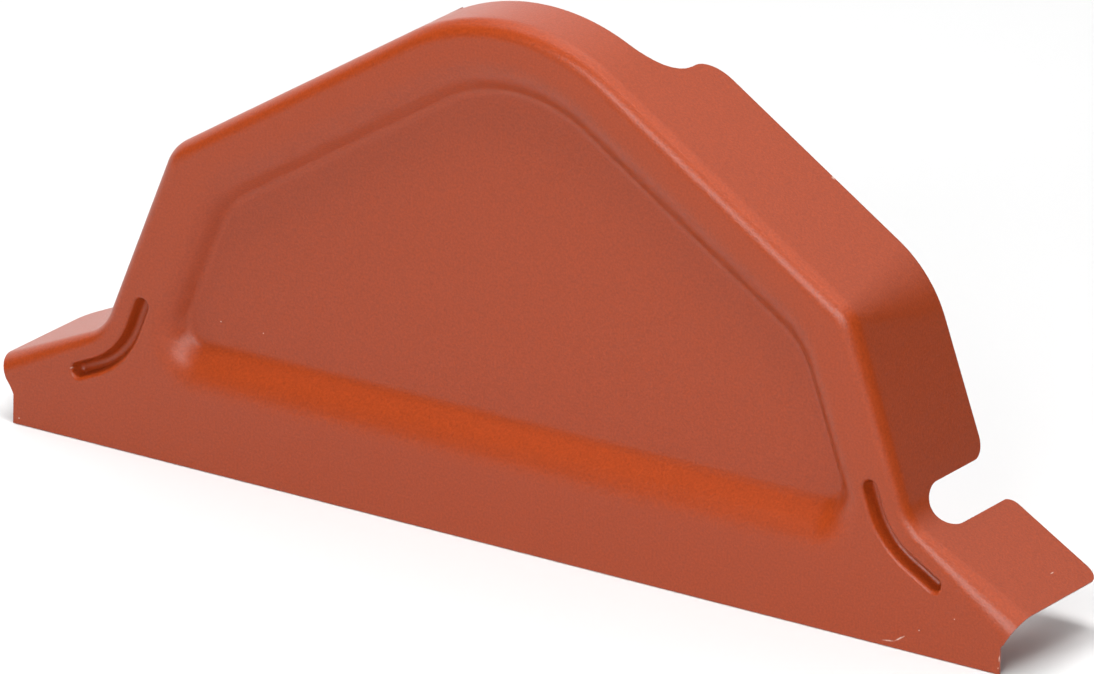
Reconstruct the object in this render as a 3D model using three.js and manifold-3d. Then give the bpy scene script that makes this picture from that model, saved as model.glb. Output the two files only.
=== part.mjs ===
// Ridge end cap: one piece of coated steel sheet, pressed to a gabled front with a flange turned back
// all round its upper edge. The front is at y = 0 and the flange runs towards +Y, into the ridge.
// The origin is the middle of the bottom edge. Sizes are in millimetres and +Z is up.
import * as THREE from 'three';
import { mergeVertices } from 'three/addons/utils/BufferGeometryUtils.js';
import Module from 'manifold-3d';

const wasm = await Module();
wasm.setup();

// Sheet
const SHEET = 0.5;
const COATING_COLOUR = 0xa8503a;
const COATING_ROUGHNESS = 0.45;

// Front outline: the corners are where the outer faces of the flange would meet unrounded.
const BOTTOM_HALF = 145;
const SHOULDER = new THREE.Vector2(99.7, 81.9);
const ROOF_PITCH = THREE.MathUtils.degToRad(32.5);
const RISER_LEAN = THREE.MathUtils.degToRad(20.5);
const WING_TIP_HALF = 149.6;
const LEFT_WING = {
  valleyHeight: 30.2,
  pitch: THREE.MathUtils.degToRad(24.2),
  tipFoldRadius: 5.1,
  footHeight: 7.6,
  footCurve: new THREE.Vector2(0.5, 1.4),
};
const RIGHT_WING = {
  valleyHeight: 32.5,
  pitch: THREE.MathUtils.degToRad(30),
  tipFoldRadius: 7,
  footHeight: 6.7,
  footCurve: new THREE.Vector2(0.3, 0.8),
};
const APEX_RADIUS = 56;
const VALLEY_RADIUS = 13;
const SHOULDER_RADIUS_FRONT = 12;
const SHOULDER_RADIUS_REAR = 34;

// Flange and the fold that joins it to the front
const FLANGE_DEPTH = 37.8;
const FOLD_RADIUS = 4.6;
const VALLEY_FOLD_RADIUS = 3.4;

// Cuts in the flange: a relief round the apex, and a notch at each valley that frees the wing
const RELIEF_HALF = 34.6;
const RELIEF_FLANGE_DEPTH = 18.7;
const RELIEF_INNER_RADIUS = 11;
const RELIEF_OUTER_RADIUS = 6.5;
const NOTCH_HALF = 5.9;
const NOTCH_FLANGE_DEPTH = 10.1;
const WING_END_CORNER_RADIUS = 3.7;
const WING_TAB_CORNER_RADIUS = 2.8;
const RISER_TAB_CORNER_RADIUS = 4.5;

// Recess pressed into the front, parallel to the outline
const RECESS_DEPTH = 5.5;
const RECESS_RIM_INSET = { roof: 9.5, riser: 12 };
const RECESS_FLOOR_INSET = { roof: 20.5, riser: 20.5 };
const RECESS_RIM_BOTTOM = 19;
const RECESS_FLOOR_BOTTOM = 33.2;
const RECESS_WALL_ANGLE = THREE.MathUtils.degToRad(45);
const RECESS_RIM_RADIUS = 11.5;
const RECESS_RIM_CORNERS = { bottom: 14, shoulder: 20, apex: 47 };
const RECESS_FLOOR_CORNERS = { bottom: 4, shoulder: 22, apex: 36 };

// Stiffening grooves, one inside each valley
const GROOVE_INSET = 8.3;
const GROOVE_HALF_WIDTH = 2.9;
const GROOVE_FLOOR_HALF = 0.1;
const GROOVE_DEPTH = 3.6;
const GROOVE_WALL_ANGLE = THREE.MathUtils.degToRad(72);
const GROOVE_LIP_RADIUS = 1;
const GROOVE_BEND_RADIUS = 22;
const GROOVE_RISER_END_HEIGHT = 39.3;
const GROOVE_WING_END_X = 125.5;

// Facets along the curves
const CORNER_STEPS = 8;
const APEX_STEPS = 18;
const FOLD_STEPS = 6;
const PROFILE_STEPS = 5;
const GROOVE_STEPS = 10;
const GROOVE_END_STEPS = 5;
const CUT_STEPS = 8;
const MERGE_DISTANCE = 1e-4;

// Blank that the outline is trimmed from: it runs past the trimmed edges
const BLANK_HALF = 165;
const BLANK_BOTTOM = -12;
const CUT_MARGIN = 6;

const apexHeight = SHOULDER.y + SHOULDER.x * Math.tan(ROOF_PITCH);

// Point where two straight lines cross, each given by a point and a direction.
function crossing(pointA, directionA, pointB, directionB) {
  const gap = pointB.clone().sub(pointA);
  const along = gap.cross(directionB) / directionA.cross(directionB);
  return pointA.clone().addScaledVector(directionA, along);
}

// Arc that rounds a corner, as points with the unit normal on the left of the way of travel.
function roundedCorner(before, corner, after, radius, steps) {
  const back = before.clone().sub(corner).normalize();
  const on = after.clone().sub(corner).normalize();
  const halfAngle = Math.acos(THREE.MathUtils.clamp(back.dot(on), -1, 1)) / 2;
  const bisector = back.clone().add(on).normalize();
  const centre = corner.clone().addScaledVector(bisector, radius / Math.sin(halfAngle));
  const turnsLeft = back.cross(on) < 0;
  const first = corner.clone().addScaledVector(back, radius / Math.tan(halfAngle)).sub(centre);
  const sweep = (Math.PI - 2 * halfAngle) * (turnsLeft ? 1 : -1);
  return Array.from({ length: steps + 1 }, (_, step) => {
    const spoke = first.clone().rotateAround(new THREE.Vector2(), (sweep * step) / steps);
    const normal = spoke.clone().normalize().multiplyScalar(turnsLeft ? -1 : 1);
    return { point: spoke.add(centre), normal };
  });
}

// The straight runs of one half of the front, for the right side, moved inwards by an inset.
function halfRuns(wing, inset, roofInset = inset) {
  const riser = new THREE.Vector2(-Math.sin(RISER_LEAN), Math.cos(RISER_LEAN));
  const roof = new THREE.Vector2(-Math.cos(ROOF_PITCH), Math.sin(ROOF_PITCH));
  const wingRun = new THREE.Vector2(-Math.cos(wing.pitch), Math.sin(wing.pitch));
  const inwards = (run, distance) => new THREE.Vector2(-run.y, run.x).multiplyScalar(distance);
  const valleyHalf = SHOULDER.x + (SHOULDER.y - wing.valleyHeight) * Math.tan(RISER_LEAN);
  const valley = new THREE.Vector2(valleyHalf, wing.valleyHeight);
  const onWing = valley.clone().add(inwards(wingRun, inset));
  const onRiser = SHOULDER.clone().add(inwards(riser, inset));
  const onRoof = SHOULDER.clone().add(inwards(roof, roofInset));
  return {
    riser,
    wingRun,
    valley: crossing(onWing, wingRun, onRiser, riser),
    shoulder: crossing(onRiser, riser, onRoof, roof),
    apex: crossing(onRoof, roof, new THREE.Vector2(), new THREE.Vector2(0, 1)),
  };
}

// Mirrors points of the right side to the left, in the order of travel over the apex.
function mirrored(points) {
  const flip = (v) => new THREE.Vector2(-v.x, v.y);
  return points.map((p) => ({ ...p, point: flip(p.point), normal: flip(p.normal) })).reverse();
}

// Outer outline of the flange from the right wing over the apex to the left wing.
function flangeOutline(shoulderRadius) {
  const side = (wing) => {
    const runs = halfRuns(wing, 0);
    const reach = (BLANK_HALF - runs.valley.x) / Math.cos(wing.pitch);
    const tipReach = (WING_TIP_HALF - runs.valley.x) / Math.cos(wing.pitch);
    const end = runs.valley.clone().addScaledVector(runs.wingRun, -reach);
    const endNormal = new THREE.Vector2(-runs.wingRun.y, runs.wingRun.x);
    const growth = (wing.tipFoldRadius - VALLEY_FOLD_RADIUS) / tipReach;
    const start = { point: end, normal: endNormal, fold: VALLEY_FOLD_RADIUS + growth * reach };
    const bend = roundedCorner(end, runs.valley, runs.shoulder, VALLEY_RADIUS, CORNER_STEPS);
    const valley = bend.map((p) => ({ ...p, fold: VALLEY_FOLD_RADIUS }));
    const shoulder = roundedCorner(runs.valley, runs.shoulder, runs.apex, shoulderRadius, CORNER_STEPS);
    return [start, ...valley, ...shoulder];
  };
  const right = halfRuns(RIGHT_WING, 0);
  const leftShoulder = new THREE.Vector2(-right.shoulder.x, right.shoulder.y);
  const apex = roundedCorner(right.shoulder, right.apex, leftShoulder, APEX_RADIUS, APEX_STEPS);
  const outline = [...side(RIGHT_WING), ...apex, ...mirrored(side(LEFT_WING))];
  return outline.map((p) => ({ fold: FOLD_RADIUS, ...p }));
}

// Closed outline parallel to the roof and the risers, with a level bottom, for the recess.
function recessOutline(inset, bottom, radii) {
  const runs = halfRuns(RIGHT_WING, inset.riser, inset.roof);
  const level = new THREE.Vector2(1, 0);
  const foot = crossing(runs.shoulder, runs.riser, new THREE.Vector2(0, bottom), level);
  const middle = new THREE.Vector2(0, bottom);
  const leftShoulder = new THREE.Vector2(-runs.shoulder.x, runs.shoulder.y);
  const half = [
    ...roundedCorner(middle, foot, runs.shoulder, radii.bottom, CORNER_STEPS),
    ...roundedCorner(foot, runs.shoulder, runs.apex, radii.shoulder, CORNER_STEPS),
  ];
  const top = roundedCorner(runs.shoulder, runs.apex, leftShoulder, radii.apex, APEX_STEPS);
  return [...half, ...top, ...mirrored(half)].map((p) => p.point);
}

// Centre line of a groove beside the right valley, from the wing end to the riser end.
function grooveLine(wing) {
  const runs = halfRuns(wing, GROOVE_INSET);
  const wingReach = (GROOVE_WING_END_X - runs.valley.x) / Math.cos(wing.pitch);
  const riserReach = (GROOVE_RISER_END_HEIGHT - runs.valley.y) / Math.cos(RISER_LEAN);
  const wingEnd = runs.valley.clone().addScaledVector(runs.wingRun, -wingReach);
  const riserEnd = runs.valley.clone().addScaledVector(runs.riser, riserReach);
  const bend = roundedCorner(wingEnd, runs.valley, riserEnd, GROOVE_BEND_RADIUS, GROOVE_STEPS);
  const first = { point: wingEnd, normal: bend[0].normal };
  const last = { point: riserEnd, normal: bend[bend.length - 1].normal };
  return [first, ...bend, last];
}

// Closed outline round a line at a distance to each side, with half-round ends.
function outlineRound(line, distance) {
  const leftSide = line.map((p) => p.point.clone().addScaledVector(p.normal, distance)).reverse();
  const rightSide = line.map((p) => p.point.clone().addScaledVector(p.normal, -distance));
  const halfRound = (p, from) =>
    Array.from({ length: GROOVE_END_STEPS - 1 }, (_, step) => {
      const angle = (Math.PI * (step + 1)) / GROOVE_END_STEPS;
      const spoke = p.normal.clone().multiplyScalar(from * distance);
      return spoke.rotateAround(new THREE.Vector2(), angle).add(p.point);
    });
  return [...rightSide, ...halfRound(line[line.length - 1], -1), ...leftSide, ...halfRound(line[0], 1)];
}

// Section of a pressed wall from the front down to a floor: a convex lip, a straight and a concave foot.
// Gives [share of the run, depth] pairs for the sheet's front face, or for the face a distance behind it.
function wallProfile(run, depth, angle, lipRadius, behind) {
  const rise = 1 - Math.cos(angle);
  const overrun = run * Math.sin(angle) - depth * Math.cos(angle);
  const footRadius = overrun / (Math.sin(angle) ** 2 - rise * Math.cos(angle)) - lipRadius;
  const lip = lipRadius - behind;
  const foot = footRadius + behind;
  const steps = Array.from({ length: PROFILE_STEPS + 1 }, (_, step) => (angle * step) / PROFILE_STEPS);
  const down = steps.map((a) => [lip * Math.sin(a), lip * (1 - Math.cos(a))]);
  const up = steps.reverse().map((a) => [run - foot * Math.sin(a), depth - foot * (1 - Math.cos(a))]);
  return [...down, ...up].map(([along, deep]) => [along / run, deep + behind]);
}

// Collects rings of vertices and the triangles between them.
class Skin {
  positions = [];
  triangles = [];

  ring(points) {
    const first = this.positions.length / 3;
    points.forEach((p) => this.positions.push(p.x, p.y, p.z));
    return points.map((_, i) => first + i);
  }

  stitch(ringA, ringB) {
    ringA.forEach((a, i) => {
      const next = (i + 1) % ringA.length;
      this.triangles.push(a, ringA[next], ringB[next], a, ringB[next], ringB[i]);
    });
  }

  // Fills a flat ring, leaving out the holes, facing the front or the rear.
  fill(ring, holes, facesFront) {
    const flat = (loop) =>
      loop.map((v) => new THREE.Vector2(this.positions[3 * v], this.positions[3 * v + 2]));
    const all = [...ring, ...holes.flat()];
    const faces = THREE.ShapeUtils.triangulateShape(flat(ring), holes.map(flat));
    faces.forEach((face) => {
      const [a, b, c] = face.map((i) => all[i]);
      const leftTurn = !THREE.ShapeUtils.isClockWise(flat([a, b, c]));
      this.triangles.push(...(leftTurn === facesFront ? [a, b, c] : [a, c, b]));
    });
  }

  geometry() {
    const geometry = new THREE.BufferGeometry();
    geometry.setAttribute('position', new THREE.Float32BufferAttribute(this.positions, 3));
    geometry.setIndex(this.triangles);
    return geometry;
  }
}

// Block bounded by the pressed sheet's front face, or, with the sheet's thickness behind, by its back face.
function pressedBlock(behind) {
  const skin = new Skin();
  const lift = ({ x, y }, deep) => new THREE.Vector3(x, deep, y);
  const blankCorners = (deep) => {
    const left = new THREE.Vector3(-BLANK_HALF, deep, BLANK_BOTTOM);
    return [left, new THREE.Vector3(BLANK_HALF, deep, BLANK_BOTTOM)];
  };
  const inset = (p, distance) => p.point.clone().addScaledVector(p.normal, distance);

  const rearEnd = FLANGE_DEPTH + (behind > 0 ? CUT_MARGIN : 0);
  const rear = flangeOutline(SHOULDER_RADIUS_REAR).map((p) => lift(inset(p, behind), rearEnd));
  let outer = skin.ring([...rear, ...blankCorners(rearEnd)]);
  skin.fill(outer, [], false);
  const front = flangeOutline(SHOULDER_RADIUS_FRONT);
  for (let step = 0; step <= FOLD_STEPS; step += 1) {
    const turn = (Math.PI / 2) * (step / FOLD_STEPS);
    const fold = front.map((p) => {
      const radius = p.fold - behind;
      const distance = p.fold - radius * Math.cos(turn);
      return lift(inset(p, distance), p.fold - radius * Math.sin(turn));
    });
    const cornerDepth = FOLD_RADIUS - (FOLD_RADIUS - behind) * Math.sin(turn);
    const next = skin.ring([...fold, ...blankCorners(cornerDepth)]);
    skin.stitch(outer, next);
    outer = next;
  }

  const holes = [];
  const pressIn = (outlineAt, profile) => {
    const rings = profile.map(([share, deep]) => skin.ring(outlineAt(share).map((p) => lift(p, deep))));
    rings.slice(1).forEach((next, i) => skin.stitch(rings[i], next));
    skin.fill(rings[rings.length - 1], [], true);
    holes.push(rings[0]);
  };

  const rim = recessOutline(RECESS_RIM_INSET, RECESS_RIM_BOTTOM, RECESS_RIM_CORNERS);
  const floor = recessOutline(RECESS_FLOOR_INSET, RECESS_FLOOR_BOTTOM, RECESS_FLOOR_CORNERS);
  const recessRun = RECESS_FLOOR_INSET.roof - RECESS_RIM_INSET.roof;
  const recessAt = (share) => rim.map((p, i) => p.clone().lerp(floor[i], share));
  pressIn(recessAt, wallProfile(recessRun, RECESS_DEPTH, RECESS_WALL_ANGLE, RECESS_RIM_RADIUS, behind));

  const grooveRun = GROOVE_HALF_WIDTH - GROOVE_FLOOR_HALF;
  const grooveProfile = wallProfile(grooveRun, GROOVE_DEPTH, GROOVE_WALL_ANGLE, GROOVE_LIP_RADIUS, behind);
  [grooveLine(RIGHT_WING), mirrored(grooveLine(LEFT_WING))].forEach((line) => {
    pressIn((share) => outlineRound(line, GROOVE_HALF_WIDTH - grooveRun * share), grooveProfile);
  });

  skin.fill(outer, holes, true);
  return solidOf(skin.geometry());
}

// Closed three.js geometry as a solid that can be joined and cut.
function solidOf(geometry) {
  const bare = geometry.clone();
  bare.deleteAttribute('normal');
  bare.deleteAttribute('uv');
  const merged = mergeVertices(bare, MERGE_DISTANCE);
  const vertProperties = Float32Array.from(merged.attributes.position.array);
  const triVerts = Uint32Array.from(merged.index.array);
  return new wasm.Manifold(new wasm.Mesh({ numProp: 3, vertProperties, triVerts }));
}

// Prism of a flat shape, placed so that the shape's x, y and the way of extrusion follow the basis.
function prism(shape, length, basis) {
  const settings = { depth: length, bevelEnabled: false, curveSegments: CUT_STEPS };
  const geometry = new THREE.ExtrudeGeometry(shape, settings);
  geometry.applyMatrix4(basis);
  return solidOf(geometry);
}

// What is kept in the front view: square feet, then an easy curve out to each wing's end.
function frontTrim() {
  const top = apexHeight + CUT_MARGIN;
  const shape = new THREE.Shape();
  const wingEnd = (wing) => {
    const runs = halfRuns(wing, 0);
    const tipHeight = runs.valley.y - (WING_TIP_HALF - runs.valley.x) * Math.tan(wing.pitch);
    const up = new THREE.Vector2(Math.sin(wing.pitch), Math.cos(wing.pitch));
    const tip = new THREE.Vector2(WING_TIP_HALF, tipHeight);
    const underFold = tip.clone().addScaledVector(up, -wing.tipFoldRadius);
    const curve = new THREE.Vector2(BOTTOM_HALF, wing.footHeight).add(wing.footCurve);
    return { underFold, curve, past: tip.addScaledVector(up, 2 * SHEET) };
  };
  const right = wingEnd(RIGHT_WING);
  const left = wingEnd(LEFT_WING);
  shape.moveTo(-BOTTOM_HALF, 0);
  shape.lineTo(BOTTOM_HALF, 0);
  shape.lineTo(BOTTOM_HALF, RIGHT_WING.footHeight);
  shape.quadraticCurveTo(right.curve.x, right.curve.y, right.underFold.x, right.underFold.y);
  shape.lineTo(right.past.x, right.past.y);
  shape.lineTo(right.past.x, top);
  shape.lineTo(-left.past.x, top);
  shape.lineTo(-left.past.x, left.past.y);
  shape.lineTo(-left.underFold.x, left.underFold.y);
  shape.quadraticCurveTo(-left.curve.x, left.curve.y, -BOTTOM_HALF, LEFT_WING.footHeight);
  const length = FLANGE_DEPTH + 2 * CUT_MARGIN;
  const basis = new THREE.Matrix4().makeRotationX(Math.PI / 2);
  basis.setPosition(0, FLANGE_DEPTH + CUT_MARGIN, 0);
  return prism(shape, length, basis);
}

// What is kept in the plan view: the flange's rear edge, stepped forward round the apex.
function planTrim() {
  const shape = new THREE.Shape();
  const side = WING_TIP_HALF;
  const corner = WING_END_CORNER_RADIUS;
  const rear = FLANGE_DEPTH;
  const quarter = Math.PI / 2;
  shape.moveTo(-side, -CUT_MARGIN);
  shape.lineTo(side, -CUT_MARGIN);
  shape.absarc(side - corner, rear - corner, corner, 0, quarter, false);
  const outerCentre = RELIEF_HALF + RELIEF_OUTER_RADIUS;
  const innerCentre = RELIEF_HALF - RELIEF_INNER_RADIUS;
  const innerDepth = RELIEF_FLANGE_DEPTH + RELIEF_INNER_RADIUS;
  const outerDepth = rear - RELIEF_OUTER_RADIUS;
  shape.absarc(outerCentre, outerDepth, RELIEF_OUTER_RADIUS, quarter, 2 * quarter, false);
  shape.absarc(innerCentre, innerDepth, RELIEF_INNER_RADIUS, 0, -quarter, true);
  shape.absarc(-innerCentre, innerDepth, RELIEF_INNER_RADIUS, -quarter, -2 * quarter, true);
  shape.absarc(-outerCentre, outerDepth, RELIEF_OUTER_RADIUS, 0, quarter, false);
  shape.absarc(corner - side, rear - corner, corner, quarter, 2 * quarter, false);
  const basis = new THREE.Matrix4().makeTranslation(0, 0, BLANK_BOTTOM - CUT_MARGIN);
  return prism(shape, apexHeight - BLANK_BOTTOM + 2 * CUT_MARGIN, basis);
}

// U-shaped notch at a valley, cut square to the sheet where the wing and the riser meet.
function valleyNotch(wing, side) {
  const rear = FLANGE_DEPTH;
  const quarter = Math.PI / 2;
  const leftCorner = side > 0 ? RISER_TAB_CORNER_RADIUS : WING_TAB_CORNER_RADIUS;
  const rightCorner = side > 0 ? WING_TAB_CORNER_RADIUS : RISER_TAB_CORNER_RADIUS;
  const leftMouth = -NOTCH_HALF - leftCorner;
  const rightMouth = NOTCH_HALF + rightCorner;
  const shape = new THREE.Shape();
  shape.moveTo(rightMouth, rear + CUT_MARGIN);
  shape.lineTo(leftMouth, rear + CUT_MARGIN);
  shape.absarc(leftMouth, rear - leftCorner, leftCorner, quarter, 0, true);
  shape.absarc(0, NOTCH_FLANGE_DEPTH + NOTCH_HALF, NOTCH_HALF, 2 * quarter, 4 * quarter, false);
  shape.absarc(rightMouth, rear - rightCorner, rightCorner, 2 * quarter, quarter, true);
  const { valley } = halfRuns(wing, 0);
  const wingNormal = new THREE.Vector2(Math.sin(wing.pitch), Math.cos(wing.pitch));
  const riserNormal = new THREE.Vector2(Math.cos(RISER_LEAN), Math.sin(RISER_LEAN));
  const out = wingNormal.add(riserNormal).normalize();
  const across = new THREE.Vector3(out.y, 0, -side * out.x);
  const outwards = new THREE.Vector3(side * out.x, 0, out.y);
  const basis = new THREE.Matrix4().makeBasis(across, new THREE.Vector3(0, 1, 0), outwards);
  const reach = 2 * NOTCH_HALF;
  const start = new THREE.Vector3(side * valley.x, 0, valley.y).addScaledVector(outwards, -reach);
  basis.setPosition(start);
  return prism(shape, 2 * reach, basis);
}

// The whole sheet: what lies between its front and back faces, trimmed and notched.
function pressedSheet() {
  const shell = pressedBlock(0).subtract(pressedBlock(SHEET));
  const trimmed = shell.intersect(frontTrim()).intersect(planTrim());
  return trimmed.subtract(valleyNotch(RIGHT_WING, 1)).subtract(valleyNotch(LEFT_WING, -1));
}

// Solid as a three.js geometry.
function geometryOf(solid) {
  const { vertProperties, triVerts } = solid.getMesh();
  const geometry = new THREE.BufferGeometry();
  geometry.setAttribute('position', new THREE.Float32BufferAttribute(vertProperties, 3));
  geometry.setIndex(Array.from(triVerts));
  geometry.computeVertexNormals();
  return geometry;
}

const coating = new THREE.MeshStandardMaterial({
  color: COATING_COLOUR,
  roughness: COATING_ROUGHNESS,
  metalness: 0,
});
const capSheet = new THREE.Mesh(geometryOf(pressedSheet()), coating);
capSheet.name = 'cap_sheet';

const cap = new THREE.Group();
cap.add(capSheet);

export default cap;
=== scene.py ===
import math

import bmesh
import bpy
from mathutils import Matrix, Vector


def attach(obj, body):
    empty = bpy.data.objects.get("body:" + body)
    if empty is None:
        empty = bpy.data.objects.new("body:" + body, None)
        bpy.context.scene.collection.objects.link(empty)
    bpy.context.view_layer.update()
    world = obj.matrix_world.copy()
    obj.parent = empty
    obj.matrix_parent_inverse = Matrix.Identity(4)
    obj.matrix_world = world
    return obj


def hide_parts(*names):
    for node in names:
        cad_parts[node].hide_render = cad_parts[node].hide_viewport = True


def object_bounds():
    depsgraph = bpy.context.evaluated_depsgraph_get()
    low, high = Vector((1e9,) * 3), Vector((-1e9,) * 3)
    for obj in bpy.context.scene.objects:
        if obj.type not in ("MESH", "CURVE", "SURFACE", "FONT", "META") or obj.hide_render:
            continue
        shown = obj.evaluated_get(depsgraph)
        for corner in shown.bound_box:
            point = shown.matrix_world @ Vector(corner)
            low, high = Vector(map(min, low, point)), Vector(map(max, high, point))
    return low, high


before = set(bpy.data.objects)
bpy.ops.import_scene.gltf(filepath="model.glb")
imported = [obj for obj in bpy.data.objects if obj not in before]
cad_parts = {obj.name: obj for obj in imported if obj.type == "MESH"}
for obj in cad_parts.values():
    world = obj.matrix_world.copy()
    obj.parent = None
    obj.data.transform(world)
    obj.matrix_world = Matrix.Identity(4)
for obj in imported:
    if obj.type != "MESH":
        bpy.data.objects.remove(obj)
cad_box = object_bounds()

# The cap is one sheet of prepainted steel, pressed to a gabled front whose upper edge is folded back
# into a flange. The recess and the two grooves are pressed into the front, and the flange is notched
# at the valleys and relieved round the apex so that it can lie over the roof sheets.
SHEET = 0.5
BOTTOM_HALF = 145
SHOULDER = Vector((99.7, 81.9))
ROOF_PITCH = math.radians(32.5)
RISER_LEAN = math.radians(20.5)
WING_TIP_HALF = 149.6
LEFT_WING = {
    "valley_height": 30.2, "pitch": math.radians(24.2), "tip_fold": 5.1,
    "foot": 7.6, "foot_curve": Vector((0.5, 1.4)),
}
RIGHT_WING = {
    "valley_height": 32.5, "pitch": math.radians(30), "tip_fold": 7,
    "foot": 6.7, "foot_curve": Vector((0.3, 0.8)),
}
APEX_RADIUS = 56
VALLEY_RADIUS = 13
SHOULDER_RADIUS_FRONT = 12
SHOULDER_RADIUS_REAR = 34
FLANGE_DEPTH = 37.8
FOLD_RADIUS = 4.6
VALLEY_FOLD_RADIUS = 3.4
RELIEF_HALF = 34.6
RELIEF_FLANGE_DEPTH = 18.7
RELIEF_INNER_RADIUS = 11
RELIEF_OUTER_RADIUS = 6.5
NOTCH_HALF = 5.9
NOTCH_FLANGE_DEPTH = 10.1
WING_END_CORNER_RADIUS = 3.7
WING_TAB_CORNER_RADIUS = 2.8
RISER_TAB_CORNER_RADIUS = 4.5
FLAT_MARGIN = 0.7
APEX_HEIGHT = SHOULDER.x * math.tan(ROOF_PITCH) + SHOULDER.y
QUARTER_TURN = [math.pi / 2 * step / 8 for step in range(9)]


def along(angle):
    """Unit vector that leans the given angle up from level, towards the middle of the cap."""
    return Vector((-math.cos(angle), math.sin(angle)))


def inwards(run):
    """Unit vector square to a run of the outline, into the sheet's front."""
    return Vector((-run.y, run.x))


def crossing(point_a, run_a, point_b, run_b):
    """Where two straight runs meet."""
    return point_a + run_a * ((point_b - point_a).cross(run_b) / run_a.cross(run_b))


def rounded(before, corner, after, radius, steps):
    """Points round a corner, each with the normal on the left of the way of travel."""
    back = (before - corner).normalized()
    on = (after - corner).normalized()
    half = math.acos(max(-1, min(1, back.dot(on)))) / 2
    centre = corner + (back + on).normalized() * (radius / math.sin(half))
    side = 1 if back.cross(on) < 0 else -1
    first = corner + back * (radius / math.tan(half)) - centre
    sweep = side * (math.pi - 2 * half)
    spokes = [Matrix.Rotation(sweep * step / steps, 2) @ first for step in range(steps + 1)]
    return [(centre + spoke, spoke.normalized() * -side) for spoke in spokes]


def corners(wing, inset=0, roof_inset=0):
    """Valley, shoulder and apex of the right half, moved inwards by an inset."""
    drop = SHOULDER.y - wing["valley_height"]
    valley = Vector((SHOULDER.x + drop * math.tan(RISER_LEAN), wing["valley_height"]))
    wing_run, riser, roof = along(wing["pitch"]), along(math.pi / 2 - RISER_LEAN), along(ROOF_PITCH)
    on_riser = SHOULDER + inwards(riser) * inset
    on_roof = SHOULDER + inwards(roof) * roof_inset
    low = crossing(valley + inwards(wing_run) * inset, wing_run, on_riser, riser)
    high = crossing(on_riser, riser, on_roof, roof)
    return low, high, crossing(on_roof, roof, Vector((0, 0)), Vector((0, 1)))


def spaced(first, last, count):
    """Points between two columns of the outline, without the two."""
    return [(first[0].lerp(last[0], step / count), last[1]) for step in range(1, count)]


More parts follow.
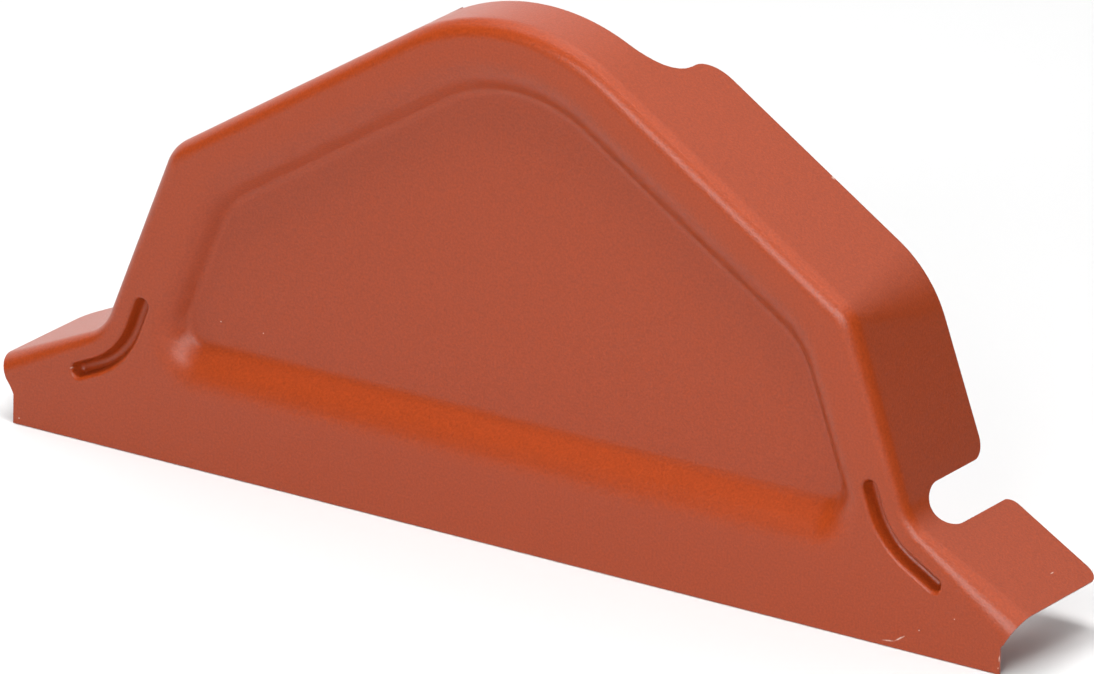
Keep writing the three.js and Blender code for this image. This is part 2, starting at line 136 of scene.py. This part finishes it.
def half_outline(wing, shoulder_radius):
    """Columns of the flange on the right half: point, inward normal, depth of the rear edge, fold radius."""
    valley, shoulder, apex = corners(wing)
    wing_run, riser, roof = along(wing["pitch"]), along(math.pi / 2 - RISER_LEAN), along(ROOF_PITCH)
    half_turn = (math.pi / 2 - RISER_LEAN - wing["pitch"]) / 2
    across = (wing_run + riser).normalized()
    valley_centre = valley - inwards(across) * (VALLEY_RADIUS / math.cos(half_turn))
    apex_centre = Vector((0, APEX_HEIGHT - APEX_RADIUS / math.cos(ROOF_PITCH)))

    def at_valley(reach):
        if abs(reach) > VALLEY_RADIUS * math.sin(half_turn):
            run = riser if reach > 0 else wing_run
            return valley + run * (reach / math.cos(half_turn)), inwards(run)
        swing = math.asin(reach / VALLEY_RADIUS)
        spoke = across * math.sin(swing) + inwards(across) * math.cos(swing)
        return valley_centre + spoke * VALLEY_RADIUS, spoke

    def at_roof(x):
        if x > APEX_RADIUS * math.sin(ROOF_PITCH):
            return Vector((x, APEX_HEIGHT - x * math.tan(ROOF_PITCH))), inwards(roof)
        swing = math.asin(x / APEX_RADIUS)
        spoke = Vector((math.sin(swing), math.cos(swing)))
        return apex_centre + spoke * APEX_RADIUS, -spoke

    def at_wing(x):
        return valley - wing_run * ((x - valley.x) / math.cos(wing["pitch"])), inwards(wing_run)

    def rounded_depth(radius, turn):
        return FLANGE_DEPTH - radius * (1 - math.sin(turn))

    outer_half = RELIEF_HALF + RELIEF_OUTER_RADIUS
    inner_half = RELIEF_HALF - RELIEF_INNER_RADIUS
    bend = rounded(valley, shoulder, apex, shoulder_radius, 16)
    columns = []
    for turn in QUARTER_TURN:
        x = WING_TIP_HALF - WING_END_CORNER_RADIUS * (1 - math.cos(turn))
        columns.append((*at_wing(x), rounded_depth(WING_END_CORNER_RADIUS, turn)))
    for point, normal in spaced(columns[-1], at_valley(-NOTCH_HALF - WING_TAB_CORNER_RADIUS), 14):
        columns.append((point, normal, FLANGE_DEPTH))
    for turn in reversed(QUARTER_TURN):
        reach = -NOTCH_HALF - WING_TAB_CORNER_RADIUS * (1 - math.cos(turn))
        columns.append((*at_valley(reach), rounded_depth(WING_TAB_CORNER_RADIUS, turn)))
    for step in range(-11, 12):
        swing = math.pi / 2 * step / 12
        depth = NOTCH_FLANGE_DEPTH + NOTCH_HALF * (1 - math.cos(swing))
        columns.append((*at_valley(NOTCH_HALF * math.sin(swing)), depth))
    for turn in QUARTER_TURN:
        reach = NOTCH_HALF + RISER_TAB_CORNER_RADIUS * (1 - math.cos(turn))
        columns.append((*at_valley(reach), rounded_depth(RISER_TAB_CORNER_RADIUS, turn)))
    for point, normal in spaced(columns[-1], bend[0], 18) + bend + spaced(bend[-1], at_roof(outer_half), 24):
        columns.append((point, normal, FLANGE_DEPTH))
    for turn in reversed(QUARTER_TURN):
        x = outer_half - RELIEF_OUTER_RADIUS * math.cos(turn)
        columns.append((*at_roof(x), rounded_depth(RELIEF_OUTER_RADIUS, turn)))
    for turn in QUARTER_TURN[-2::-1]:
        depth = RELIEF_FLANGE_DEPTH + RELIEF_INNER_RADIUS * (1 - math.cos(turn))
        columns.append((*at_roof(inner_half + RELIEF_INNER_RADIUS * math.sin(turn)), depth))
    for step in range(1, 16):
        columns.append((*at_roof(inner_half * (1 - step / 16)), RELIEF_FLANGE_DEPTH))

    wing_end = at_valley(-VALLEY_RADIUS * math.sin(half_turn))[0].x
    riser_end = at_valley(VALLEY_RADIUS * math.sin(half_turn))[0].y
    finished = []
    for point, normal, depth in columns:
        out = max(0, (point.x - wing_end) / (WING_TIP_HALF - wing_end))
        up = max(0, min(1, (point.y - riser_end) / (bend[0][0].y - riser_end)))
        fold = VALLEY_FOLD_RADIUS
        fold += out * (wing["tip_fold"] - VALLEY_FOLD_RADIUS) + up * (FOLD_RADIUS - VALLEY_FOLD_RADIUS)
        finished.append((point, normal, depth, fold))
    return finished


def mirrored(columns):
    """Columns of the right half as the left half, in the same way of travel."""
    def flip(vector):
        return Vector((-vector.x, vector.y))

    return [(flip(column[0]), flip(column[1]), *column[2:]) for column in reversed(columns)]


def whole_outline(shoulder_radius):
    """Columns from the right wing's end over the apex to the left wing's end."""
    top = Vector((0, APEX_HEIGHT - APEX_RADIUS / math.cos(ROOF_PITCH) + APEX_RADIUS))
    middle = (top, Vector((0, -1)), RELIEF_FLANGE_DEPTH, FOLD_RADIUS)
    left = mirrored(half_outline(LEFT_WING, shoulder_radius))
    return half_outline(RIGHT_WING, shoulder_radius) + [middle] + left


# The recess that stiffens the front: its rim and floor are parallel to the roof and the risers, with a
# level bottom, and its wall slopes gently between them.
RECESS_DEPTH = 5.5
RECESS_RIM = {"riser": 12, "roof": 9.5, "bottom": 19, "corners": (14, 20, 47)}
RECESS_FLOOR = {"riser": 20.5, "roof": 20.5, "bottom": 33.2, "corners": (4, 22, 36)}
RECESS_WALL_ANGLE = math.radians(45)
RECESS_RIM_RADIUS = 9.5


def wall_profile(run, depth, angle, lip_radius):
    """Share of the run and depth of each row down a pressed wall: convex lip, straight, concave foot."""
    rise = 1 - math.cos(angle)
    overrun = run * math.sin(angle) - depth * math.cos(angle)
    foot_radius = overrun / (math.sin(angle) ** 2 - rise * math.cos(angle)) - lip_radius
    turns = [angle * step / 9 for step in range(10)]
    profile = [(lip_radius * math.sin(turn), lip_radius * (1 - math.cos(turn))) for turn in turns]
    for turn in reversed(turns):
        profile.append((run - foot_radius * math.sin(turn), depth - foot_radius * (1 - math.cos(turn))))
    return [(reach / run, deep) for reach, deep in profile]


def recess_ring(size):
    """Closed outline parallel to the roof and risers with a level bottom."""
    _, shoulder, apex = corners(RIGHT_WING, size["riser"], size["roof"])
    floor_line = Vector((0, size["bottom"]))
    foot = crossing(shoulder, along(math.pi / 2 - RISER_LEAN), floor_line, Vector((1, 0)))
    left_shoulder = Vector((-shoulder.x, shoulder.y))
    bottom_radius, shoulder_radius, apex_radius = size["corners"]
    low = rounded(floor_line, foot, shoulder, bottom_radius, 14)
    high = rounded(foot, shoulder, apex, shoulder_radius, 14)
    top = rounded(shoulder, apex, left_shoulder, apex_radius, 40)
    half = spaced((floor_line, low[0][1]), low[0], 16) + low + spaced(low[-1], high[0], 10)
    half += high + spaced(high[-1], top[0], 16)
    ring = [(floor_line, low[0][1])] + half + top + mirrored(half)
    return [point for point, _ in ring]


# The two stiffening grooves that follow the valleys, pressed narrow and deep with a rounded lip.
GROOVE_INSET = 8.3
GROOVE_HALF_WIDTH = 2.9
GROOVE_FLOOR_HALF = 0.1
GROOVE_DEPTH = 3.6
GROOVE_WALL_ANGLE = math.radians(72)
GROOVE_LIP_RADIUS = 1
GROOVE_BEND_RADIUS = 22
GROOVE_RISER_END_HEIGHT = 39.3
GROOVE_WING_END_X = 125.5
GROOVE_MARGIN = 0.02


def groove_line(wing):
    """Middle line of the groove inside the right valley."""
    valley, _, _ = corners(wing, GROOVE_INSET, GROOVE_INSET)
    wing_run, riser = along(wing["pitch"]), along(math.pi / 2 - RISER_LEAN)
    wing_end = valley - wing_run * ((GROOVE_WING_END_X - valley.x) / math.cos(wing["pitch"]))
    riser_end = valley + riser * ((GROOVE_RISER_END_HEIGHT - valley.y) / math.cos(RISER_LEAN))
    bend = rounded(wing_end, valley, riser_end, GROOVE_BEND_RADIUS, 24)
    return [(wing_end, bend[0][1])] + bend + [(riser_end, bend[-1][1])]


def groove_ring(line, distance):
    """Closed outline at a distance from a groove's middle line, with half-round ends."""
    ends = [math.pi * step / 14 for step in range(1, 14)]
    near = [point - normal * distance for point, normal in line]
    far = [point + normal * distance for point, normal in reversed(line)]
    past_last = [line[-1][0] + Matrix.Rotation(turn, 2) @ (line[-1][1] * -distance) for turn in ends]
    past_first = [line[0][0] + Matrix.Rotation(turn, 2) @ (line[0][1] * distance) for turn in ends]
    return near + past_last + far + past_first


def placed(point, depth):
    """Point of the front outline at a depth behind the front."""
    return Vector((point.x, depth, point.y))


def edges_between(mesh, chain, closed):
    """Edges that join a chain of vertices one to the next."""
    mates = chain[1:] + chain[:1] if closed else chain[1:]
    return [mesh.edges.get((a, b)) for a, b in zip(chain, mates)]


def drawn(mesh, places):
    """Closed wire through the given places."""
    chain = [mesh.verts.new(place) for place in places]
    for a, b in zip(chain, chain[1:] + chain[:1]):
        mesh.edges.new((a, b))
    return chain


def pulled(mesh, chain, places, closed):
    """Extrudes a chain of vertices to the given places and gives the new chain."""
    grown = bmesh.ops.extrude_edge_only(mesh, edges=edges_between(mesh, chain, closed))["geom"]
    fresh = {item for item in grown if isinstance(item, bmesh.types.BMVert)}
    moved = []
    for vertex, place in zip(chain, places):
        mate = next(edge.other_vert(vertex) for edge in vertex.link_edges if edge.other_vert(vertex) in fresh)
        mate.co = place
        moved.append(mate)
    return moved


def pressed_in(mesh, ring_at, profile, margin):
    """Presses a recess or groove down its profile, closes its floor and gives the ring left in front."""
    first = drawn(mesh, [placed(point, 0) for point in ring_at(-margin)])
    chain = first
    for share, depth in profile:
        chain = pulled(mesh, chain, [placed(point, depth) for point in ring_at(share)], True)
    chain = pulled(mesh, chain, [placed(point, profile[-1][1]) for point in ring_at(1 + margin)], True)
    bmesh.ops.triangle_fill(mesh, use_beauty=True, edges=edges_between(mesh, chain, True), normal=(0, -1, 0))
    return edges_between(mesh, first, True)


mesh = bmesh.new()
front = whole_outline(SHOULDER_RADIUS_FRONT)
rear = whole_outline(SHOULDER_RADIUS_REAR)


def on_fold(column, turn, margin=0):
    """Place on the fold's outer face, from the front at no turn to the flange at a quarter turn."""
    point, normal, _, fold = column
    reach = fold * (1 - math.sin(turn)) + margin
    return placed(point + normal * reach, fold * (1 - math.cos(turn)))


def on_flange(column, rear_column, depth):
    """Place on the flange's outer face at a depth behind the front."""
    point, _, _, fold = column
    return placed(point.lerp(rear_column[0], (depth - fold) / (FLANGE_DEPTH - fold)), depth)


def foot_curve(wing, wing_end, side):
    """Easy curve from a wing's end down to the top of its foot."""
    foot = Vector((side * BOTTOM_HALF, wing["foot"]))
    middle = Vector((foot.x + side * wing["foot_curve"].x, foot.y + wing["foot_curve"].y))
    shares = [step / 10 for step in range(1, 11)]
    return [wing_end.lerp(middle, share).lerp(middle.lerp(foot, share), share) for share in shares]


upper = [on_fold(column, 0, FLAT_MARGIN) for column in front]
right_end = Vector((upper[0].x, upper[0].z))
left_end = Vector((upper[-1].x, upper[-1].z))
bottom = [Vector((-BOTTOM_HALF + 2 * BOTTOM_HALF * step / 60, 0)) for step in range(61)]
lower = foot_curve(LEFT_WING, left_end, -1) + bottom + foot_curve(RIGHT_WING, right_end, 1)[::-1]
boundary = drawn(mesh, upper + [placed(point, 0) for point in lower])
open_edges = edges_between(mesh, boundary, True)

chain = boundary[:len(upper)]
for step in range(13):
    chain = pulled(mesh, chain, [on_fold(column, math.pi / 2 * step / 12) for column in front], False)
reached = [column[3] for column in front]
notch_side = NOTCH_FLANGE_DEPTH + NOTCH_HALF
relief_side = RELIEF_FLANGE_DEPTH + RELIEF_INNER_RADIUS
for start, stop, rows in ((0, notch_side, 7), (notch_side, relief_side, 3), (relief_side, FLANGE_DEPTH, 3)):
    kept = [index for index, column in enumerate(front) if column[2] > start + 1e-6]
    spans = []
    for index in kept:
        if spans and spans[-1][-1] == index - 1:
            spans[-1].append(index)
        else:
            spans.append([index])
    for span in spans:
        for row in range(1, rows + 1):
            places = []
            for index in span:
                depth = reached[index] + (min(stop, front[index][2]) - reached[index]) * row / rows
                places.append(on_flange(front[index], rear[index], depth))
            fresh = pulled(mesh, [chain[index] for index in span], places, False)
            for index, vertex in zip(span, fresh):
                chain[index] = vertex
    for index in kept:
        reached[index] = min(stop, front[index][2])

recess_rim, recess_floor = recess_ring(RECESS_RIM), recess_ring(RECESS_FLOOR)
recess_run = RECESS_FLOOR["roof"] - RECESS_RIM["roof"]
open_edges += pressed_in(
    mesh,
    lambda share: [rim.lerp(floor, share) for rim, floor in zip(recess_rim, recess_floor)],
    wall_profile(recess_run, RECESS_DEPTH, RECESS_WALL_ANGLE, RECESS_RIM_RADIUS),
    FLAT_MARGIN / recess_run,
)
groove_run = GROOVE_HALF_WIDTH - GROOVE_FLOOR_HALF
for line in (groove_line(RIGHT_WING), mirrored(groove_line(LEFT_WING))):
    open_edges += pressed_in(
        mesh,
        lambda share: groove_ring(line, GROOVE_HALF_WIDTH - groove_run * share),
        wall_profile(groove_run, GROOVE_DEPTH, GROOVE_WALL_ANGLE, GROOVE_LIP_RADIUS),
        GROOVE_MARGIN,
    )
bmesh.ops.triangle_fill(mesh, use_beauty=True, edges=open_edges, normal=(0, -1, 0))

bmesh.ops.recalc_face_normals(mesh, faces=mesh.faces)
foremost = max(mesh.faces, key=lambda face: face.calc_area())
if foremost.normal.y > 0:
    bmesh.ops.reverse_faces(mesh, faces=mesh.faces)
bmesh.ops.scale(mesh, vec=(0.001, 0.001, 0.001), verts=mesh.verts)
for face in mesh.faces:
    face.smooth = True
cap_mesh = bpy.data.meshes.new("ridge_end_cap")
mesh.to_mesh(cap_mesh)
mesh.free()
cap = bpy.data.objects.new("ridge_end_cap", cap_mesh)
bpy.context.scene.collection.objects.link(cap)

wall = cap.modifiers.new("sheet_thickness", "SOLIDIFY")
wall.thickness = SHEET / 1000
wall.offset = -1
wall.use_even_offset = True
wall.material_offset = 1
wall.material_offset_rim = 2
trim = cap.modifiers.new("sheared_edge", "BEVEL")
trim.width = 0.00008
trim.segments = 2
trim.limit_method = "ANGLE"
trim.angle_limit = math.radians(50)
trim.harden_normals = True


def linear(code):
    """Linear colour of an sRGB hex value."""
    shares = [int(code[start:start + 2], 16) / 255 for start in (1, 3, 5)]
    return tuple(s / 12.92 if s <= 0.04045 else ((s + 0.055) / 1.055) ** 2.4 for s in shares) + (1.0,)


def add(tree, kind, inputs, **settings):
    """Adds a node with its settings, its socket values and the links into it."""
    made = tree.nodes.new(kind)
    for name, value in settings.items():
        setattr(made, name, value)
    for socket, value in inputs.items():
        if isinstance(value, bpy.types.NodeSocket):
            tree.links.new(value, made.inputs[socket])
        else:
            made.inputs[socket].default_value = value
    return made


# Satin polyester paint on galvanised sheet, laid on the coil by roller: an even brick red with a low
# sheen, broken by a fine orange peel, a faint mottle of pigment, a few pale nicks from handling and a painted
# highlight of two pale marks on the lip at the left groove's lower end.
# The real grain is about 0.2 mm, too fine to show, so the peel and the mottle are drawn at 0.6 mm.
PAINT_GRAIN = 0.6
NICK_AND_GLINT_RAGGEDNESS = 0.5
# Each nick and each painted glint: middle in mm, length and width in mm, slant from level in degrees.
NICKS_AND_GLINT = (
    (113.4, 0, 1.5, 4.6, 0.5, 8), (116.6, 0, 2.8, 4.4, 0.6, 34), (144.9, 0, 4.1, 2.4, 0.8, 84),
    (144.6, 0, 1.6, 0.8, 0.5, 60), (-143.2, 0, 1.6, 0.8, 0.6, 20), (71, 37.6, 100.2, 1.6, 0.7, -32),
    (-86.3, 5.5, 38.1, 0.6, 0.5, 0), (-73.6, 5.5, 37.8, 0.6, 0.5, 40), (122.6, 24, 29.9, 0.6, 0.5, -30),
    (143.5, 25.5, 17.9, 0.5, 0.5, -30), (131.9, 0, 11.3, 0.6, 0.5, 10), (122, 0, 6.1, 0.6, 0.5, 70),
    # The two marks at the left groove's lower end, near x -127, are pale speckles and a painted highlight on
    # the groove end's lip.
    (-127.4, 0.2, 18.4, 1.5, 0.7, 20), (-126.8, 0.4, 17.2, 0.9, 0.6, -20), (-119.4, 0, 42.2, 0.5, 0.5, 0),
)
coat = bpy.data.materials.new("polyester_coil_coating")
coat.use_nodes = True
tree = coat.node_tree
shader = tree.nodes["Principled BSDF"]
place = add(tree, "ShaderNodeTexCoord", {}).outputs["Object"]
mottle = add(tree, "ShaderNodeTexNoise", {
    "Vector": place, "Scale": 1000 / PAINT_GRAIN, "Detail": 2.0, "Roughness": 0.6,
})
tint = add(tree, "ShaderNodeMix", {
    "Factor": mottle.outputs["Fac"], "A": linear("#792a08"), "B": linear("#b44617"),
}, data_type="RGBA")
peel = add(tree, "ShaderNodeTexNoise", {
    "Vector": place, "Scale": 1000 / PAINT_GRAIN, "Detail": 3.0, "Roughness": 0.7,
})
dimple = add(tree, "ShaderNodeBump", {"Height": peel.outputs["Fac"], "Strength": 0.8, "Distance": 0.0001})
nicks_and_glint = None
for x, y, z, length, width, slant in NICKS_AND_GLINT:
    local = add(tree, "ShaderNodeMapping", {
        "Vector": place, "Location": (x / 1000, y / 1000, z / 1000),
        "Rotation": (0, -math.radians(slant), 0), "Scale": (length / 2000, 0.001, width / 2000),
    }, vector_type="TEXTURE")
    pale_mark = add(tree, "ShaderNodeTexGradient", {"Vector": local.outputs["Vector"]}, gradient_type="SPHERICAL")
    if nicks_and_glint:
        nicks_and_glint = add(tree, "ShaderNodeMath", {
            0: nicks_and_glint.outputs[0], 1: pale_mark.outputs["Fac"],
        }, operation="MAXIMUM")
    else:
        nicks_and_glint = pale_mark
ragged = add(tree, "ShaderNodeTexNoise", {"Vector": place, "Scale": 1000 / NICK_AND_GLINT_RAGGEDNESS, "Detail": 2.0})
torn_nicks_and_glint = add(tree, "ShaderNodeMath", {0: nicks_and_glint.outputs[0], 1: ragged.outputs["Fac"]}, operation="MULTIPLY")
nick_and_glint_share = add(tree, "ShaderNodeMapRange", {"Value": torn_nicks_and_glint.outputs[0], "From Min": 0.06, "From Max": 0.4})
# Pale colour of the nicks, and of the painted highlight at the left groove's lower end.
worn_and_glint = add(tree, "ShaderNodeMix", {
    "Factor": nick_and_glint_share.outputs["Result"], "A": tint.outputs["Result"], "B": linear("#cfa99b"),
}, data_type="RGBA")
tree.links.new(worn_and_glint.outputs["Result"], shader.inputs["Base Color"])
tree.links.new(dimple.outputs["Normal"], shader.inputs["Normal"])
shader.inputs["Roughness"].default_value = 0.34
shader.inputs["IOR"].default_value = 1.45

# Thin epoxy backing coat on the hidden side: the same red, duller and flatter, with the soft clouds that
# the roller leaves, a few millimetres across.
BACKING_CLOUD = 2.5
back_coat = bpy.data.materials.new("backing_coat")
back_coat.use_nodes = True
tree = back_coat.node_tree
shader = tree.nodes["Principled BSDF"]
place = add(tree, "ShaderNodeTexCoord", {}).outputs["Object"]
mottle = add(tree, "ShaderNodeTexNoise", {"Vector": place, "Scale": 1000 / BACKING_CLOUD, "Detail": 3.0})
tint = add(tree, "ShaderNodeMix", {
    "Factor": mottle.outputs["Fac"], "A": linear("#96472f"), "B": linear("#a04f37"),
}, data_type="RGBA")
tree.links.new(tint.outputs["Result"], shader.inputs["Base Color"])
shader.inputs["Roughness"].default_value = 0.6

# Sheared edge of the galvanised sheet: a hairline of pale zinc, smeared over in patches with paint that
# the blade dragged across it.
EDGE_SMEAR = 3
cut_edge = bpy.data.materials.new("sheared_galvanised_edge")
cut_edge.use_nodes = True
tree = cut_edge.node_tree
shader = tree.nodes["Principled BSDF"]
place = add(tree, "ShaderNodeTexCoord", {}).outputs["Object"]
smear = add(tree, "ShaderNodeTexNoise", {"Vector": place, "Scale": 1000 / EDGE_SMEAR, "Detail": 4.0})
tint = add(tree, "ShaderNodeMix", {
    "Factor": smear.outputs["Fac"], "A": linear("#9a4a34"), "B": linear("#b5726a"),
}, data_type="RGBA")
tree.links.new(tint.outputs["Result"], shader.inputs["Base Color"])
shader.inputs["Roughness"].default_value = 0.5

for material in (coat, back_coat, cut_edge):
    cap_mesh.materials.append(material)
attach(cap, "root")
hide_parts("cap_sheet")

# The floor is a broad, pale studio sweep that the cap stands on, wide enough to fill the view, laid a hair
# below the cap's bottom edge. It is matt white paper, even and bright with no gloss.
FLOOR_HALF = 3.0
FLOOR_GAP = 0.0002
sweep = bmesh.new()
bmesh.ops.create_grid(sweep, x_segments=1, y_segments=1, size=FLOOR_HALF)
bmesh.ops.translate(sweep, vec=(0, 0, cad_box[0][2] - FLOOR_GAP), verts=sweep.verts)
floor_mesh = bpy.data.meshes.new("studio_floor")
sweep.to_mesh(floor_mesh)
sweep.free()
floor = bpy.data.objects.new("studio_floor", floor_mesh)
bpy.context.scene.collection.objects.link(floor)
paper = bpy.data.materials.new("white_paper")
paper.use_nodes = True
shader = paper.node_tree.nodes["Principled BSDF"]
shader.inputs["Base Color"].default_value = linear("#dadada")
shader.inputs["Roughness"].default_value = 0.9
floor_mesh.materials.append(paper)

# Soft studio light: a bank overhead that grazes the front and isn't mirrored in the paint, small key and
# spot panels in front, and dim fills low in front, on the left and behind. The last three panels are only
# mirrored: they veil the folds and the foot of the recess and draw the pale line along the folds.
world = bpy.data.worlds.new("studio_surround")
bpy.context.scene.world = world
world.use_nodes = True
world.node_tree.nodes["Background"].inputs["Color"].default_value = linear("#ffffff")
world.node_tree.nodes["Background"].inputs["Strength"].default_value = 0.02
MIDDLE = Vector((0, 0.015, 0.05))


def panel(
    name, azimuth, elevation, distance, wide, tall, brightness, lights_paint=True, mirrored_in_paint=True,
):
    """Area light that faces the cap, placed by its bearing from the front, with its angles in degrees."""
    light = bpy.data.lights.new(name, "AREA")
    light.shape = "RECTANGLE"
    light.size = 2 * distance * math.tan(math.radians(wide) / 2)
    light.size_y = 2 * distance * math.tan(math.radians(tall) / 2)
    light.energy = brightness * math.pi * light.size * light.size_y
    lamp = bpy.data.objects.new(name, light)
    bearing = Matrix.Rotation(math.radians(azimuth), 4, "Z")
    tilt = Matrix.Rotation(math.radians(90 - elevation), 4, "X")
    lamp.matrix_world = Matrix.Translation(MIDDLE) @ bearing @ tilt @ Matrix.Translation((0, 0, distance))
    lamp.visible_camera = False
    lamp.visible_diffuse = lights_paint
    lamp.visible_glossy = mirrored_in_paint
    bpy.context.scene.collection.objects.link(lamp)


panel("top_panel", 0, 80, 1.5, 54, 16, 13.2, mirrored_in_paint=False)
panel("overhead_panel", -118, 68, 1.5, 56, 38, 1.5)
panel("spot_panel", 0, 25, 1.5, 8, 8, 26)
panel("low_front_panel", 8, 6, 1.5, 44, 10, 1.4)
panel("key_panel", 27, 29, 0.8, 15, 17, 14.5)
panel("left_panel", -112, 14, 1.5, 50, 30, 1.2)
panel("rear_left_panel", -150, 8, 1.5, 30, 24, 1.0)
panel("backdrop_panel", -175, 38, 1.5, 80, 40, 0.75)
panel("fold_veil_panel", 95, 72, 1.5, 70, 50, 1.6, lights_paint=False)
panel("foot_veil_panel", -56, 52, 1.5, 40, 30, 0.25, lights_paint=False)
panel("fold_line_panel", 0, 25, 1.4, 8, 8, 22, lights_paint=False)

# The camera looks from the front right and a little above, through a long lens.
AZIMUTH = math.radians(33.084)
ELEVATION = math.radians(20.388)
ROLL = math.radians(1.095)
AIM = Vector((0.00371, 0.015, 0.050993))
DISTANCE = 3.90981
bearing = Matrix.Rotation(AZIMUTH, 4, "Z")
tilt = Matrix.Rotation(math.pi / 2 - ELEVATION, 4, "X")
turn = bearing @ tilt @ Matrix.Rotation(ROLL, 4, "Z")
lens = bpy.data.cameras.new("camera")
lens.sensor_fit = "HORIZONTAL"
lens.sensor_width = 36
lens.lens = 526.5
lens.clip_end = 100
camera = bpy.data.objects.new("camera", lens)
camera.matrix_world = Matrix.Translation(AIM) @ turn @ Matrix.Translation((0, 0, DISTANCE))
bpy.context.scene.collection.objects.link(camera)
bpy.context.scene.camera = camera
bpy.context.scene.view_settings.view_transform = "Standard"
